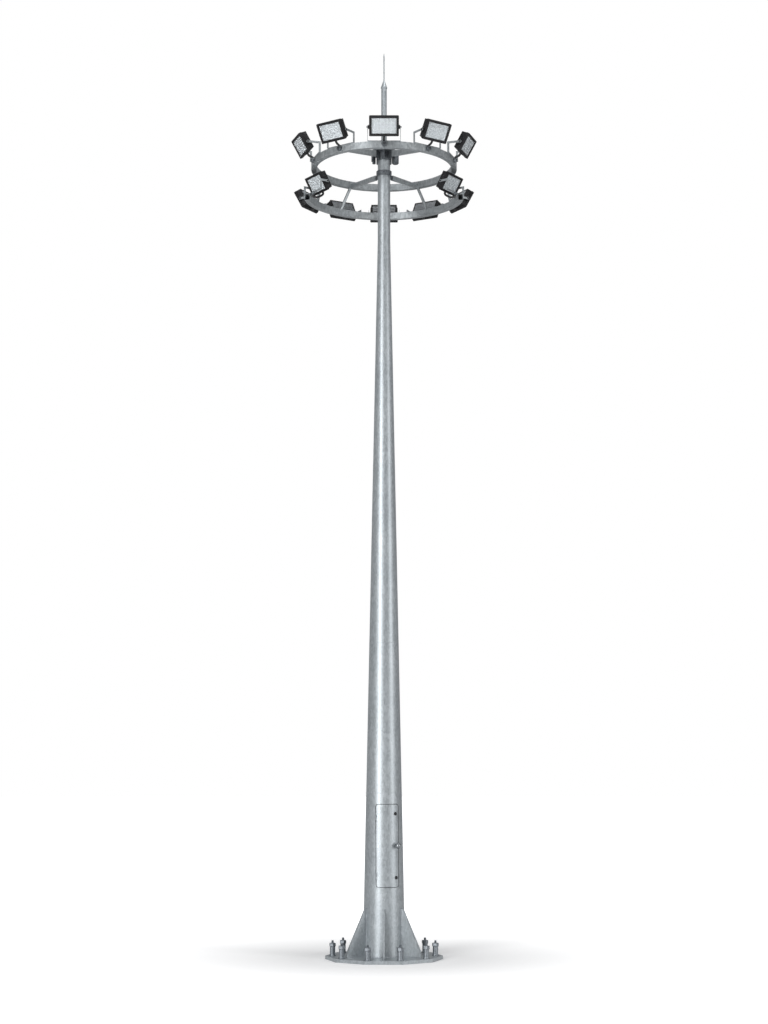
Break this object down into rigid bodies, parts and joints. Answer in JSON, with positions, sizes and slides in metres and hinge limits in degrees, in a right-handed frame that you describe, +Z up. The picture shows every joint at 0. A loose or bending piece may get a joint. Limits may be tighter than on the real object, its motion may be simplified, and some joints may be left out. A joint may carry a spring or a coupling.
{
  "type": "high mast floodlight tower",
  "caption": "Tapered tubular steel mast on a gusseted base plate, with a full and an open lamp ring at its head, tilting floodlights and a lightning rod",
  "frame": {"origin": "centre of the base plate's underside", "axes": "+Z up the mast, -Y the front, +X to the right seen from the front; azimuth 0 is the front and grows towards +X"},
  "size_m": [3.5226, 3.6328, 17.052],
  "materials": {
    "galvanised_steel": "hot-dip galvanised, satin with a faint spangle",
    "bolt_steel": "darker galvanised, dull",
    "lead_rubber": "matte black",
    "black_lock": "satin black",
    "lamp_black": "black powder coat, fine texture",
    "lamp_glass": "clear, over a pale board of small lamps"
  },
  "bodies": {
    "mast": {"base_plate": "galvanised_steel", "base_gussets": "galvanised_steel", "anchor_bolts": "bolt_steel", "mast_section_1": "galvanised_steel", "mast_section_2": "galvanised_steel", "mast_section_3": "galvanised_steel", "mast_section_4": "galvanised_steel", "door_frame": "galvanised_steel", "head_hub": "bolt_steel", "hub_boxes": "bolt_steel", "arm_collar": "bolt_steel", "front_arms": "galvanised_steel", "rear_arms": "galvanised_steel", "upper_ring_left": "galvanised_steel", "upper_ring_right": "galvanised_steel", "lower_ring": "galvanised_steel", "ring_splices": "bolt_steel", "ring_hangers": "galvanised_steel", "rod_tube": "galvanised_steel", "rod_cone": "galvanised_steel", "rod_needle": "galvanised_steel", "upper_stirrups": "galvanised_steel", "lower_stirrups": "galvanised_steel", "upper_clamps": "bolt_steel", "lower_clamps": "bolt_steel", "upper_leads": "lead_rubber", "lower_leads": "lead_rubber"},
    "door": {"door_leaf": "galvanised_steel", "door_latches": "black_lock"},
    "knob": {"door_knob": "bolt_steel"},
    "floodlight_01": {"floodlight_01_housing": "lamp_black", "floodlight_01_glass": "lamp_glass"},
    "floodlight_02": {"floodlight_02_housing": "lamp_black", "floodlight_02_glass": "lamp_glass"},
    "floodlight_03": {"floodlight_03_housing": "lamp_black", "floodlight_03_glass": "lamp_glass"},
    "floodlight_04": {"floodlight_04_housing": "lamp_black", "floodlight_04_glass": "lamp_glass"},
    "floodlight_05": {"floodlight_05_housing": "lamp_black", "floodlight_05_glass": "lamp_glass"},
    "floodlight_06": {"floodlight_06_housing": "lamp_black", "floodlight_06_glass": "lamp_glass"},
    "floodlight_07": {"floodlight_07_housing": "lamp_black", "floodlight_07_glass": "lamp_glass"},
    "floodlight_08": {"floodlight_08_housing": "lamp_black", "floodlight_08_glass": "lamp_glass"},
    "floodlight_09": {"floodlight_09_housing": "lamp_black", "floodlight_09_glass": "lamp_glass"},
    "floodlight_10": {"floodlight_10_housing": "lamp_black", "floodlight_10_glass": "lamp_glass"},
    "floodlight_11": {"floodlight_11_housing": "lamp_black", "floodlight_11_glass": "lamp_glass"},
    "floodlight_12": {"floodlight_12_housing": "lamp_black", "floodlight_12_glass": "lamp_glass"}
  },
  "joints": [
    {"name": "door_hinge", "type": "hinge", "parent": "mast", "child": "door", "pos_m": [-0.14118, -0.31472, 2.0335], "axis": [0.0052, -0.0239, -0.9997], "range_deg": [0, 110]},
    {"name": "knob_turn", "type": "hinge", "parent": "door", "child": "knob", "pos_m": [0.21225, -0.2719, 2.0335], "axis": [0.6153, -0.7883, 0], "range_deg": [-90, 90]},
    {"name": "floodlight_01_tilt", "type": "hinge", "parent": "mast", "child": "floodlight_01", "pos_m": [0, -1.594, 15.049], "axis": [1, 0, 0], "range_deg": [-30, 45]},
    {"name": "floodlight_02_tilt", "type": "hinge", "parent": "mast", "child": "floodlight_02", "pos_m": [0.93693, -1.28957, 15.049], "axis": [0.809, 0.5878, 0], "range_deg": [-30, 45]},
    {"name": "floodlight_03_tilt", "type": "hinge", "parent": "mast", "child": "floodlight_03", "pos_m": [-0.93693, -1.28957, 15.049], "axis": [0.809, -0.5878, 0], "range_deg": [-30, 45]},
    {"name": "floodlight_04_tilt", "type": "hinge", "parent": "mast", "child": "floodlight_04", "pos_m": [1.51598, -0.49257, 15.049], "axis": [0.309, 0.9511, 0], "range_deg": [-30, 45]},
    {"name": "floodlight_05_tilt", "type": "hinge", "parent": "mast", "child": "floodlight_05", "pos_m": [-1.51598, -0.49257, 15.049], "axis": [0.309, -0.9511, 0], "range_deg": [-30, 45]},
    {"name": "floodlight_06_tilt", "type": "hinge", "parent": "mast", "child": "floodlight_06", "pos_m": [1.23718, 0.13003, 14.49], "axis": [0.5446, 0.8387, 0], "range_deg": [-30, 45]},
    {"name": "floodlight_07_tilt", "type": "hinge", "parent": "mast", "child": "floodlight_07", "pos_m": [-1.23718, 0.13003, 14.49], "axis": [0.5446, -0.8387, 0], "range_deg": [-30, 45]},
    {"name": "floodlight_08_tilt", "type": "hinge", "parent": "mast", "child": "floodlight_08", "pos_m": [1.47224, 0.85, 14.36], "axis": [-0.5, 0.866, 0], "range_deg": [-30, 45]},
    {"name": "floodlight_09_tilt", "type": "hinge", "parent": "mast", "child": "floodlight_09", "pos_m": [-1.47224, 0.85, 14.36], "axis": [-0.5, -0.866, 0], "range_deg": [-30, 45]},
    {"name": "floodlight_10_tilt", "type": "hinge", "parent": "mast", "child": "floodlight_10", "pos_m": [0.82418, 1.48685, 14.36], "axis": [-0.8746, 0.4848, 0], "range_deg": [-30, 45]},
    {"name": "floodlight_11_tilt", "type": "hinge", "parent": "mast", "child": "floodlight_11", "pos_m": [-0.82418, 1.48685, 14.36], "axis": [-0.8746, -0.4848, 0], "range_deg": [-30, 45]},
    {"name": "floodlight_12_tilt", "type": "hinge", "parent": "mast", "child": "floodlight_12", "pos_m": [0, 1.7, 14.36], "axis": [-1, 0, 0], "range_deg": [-30, 45]}
  ]
}
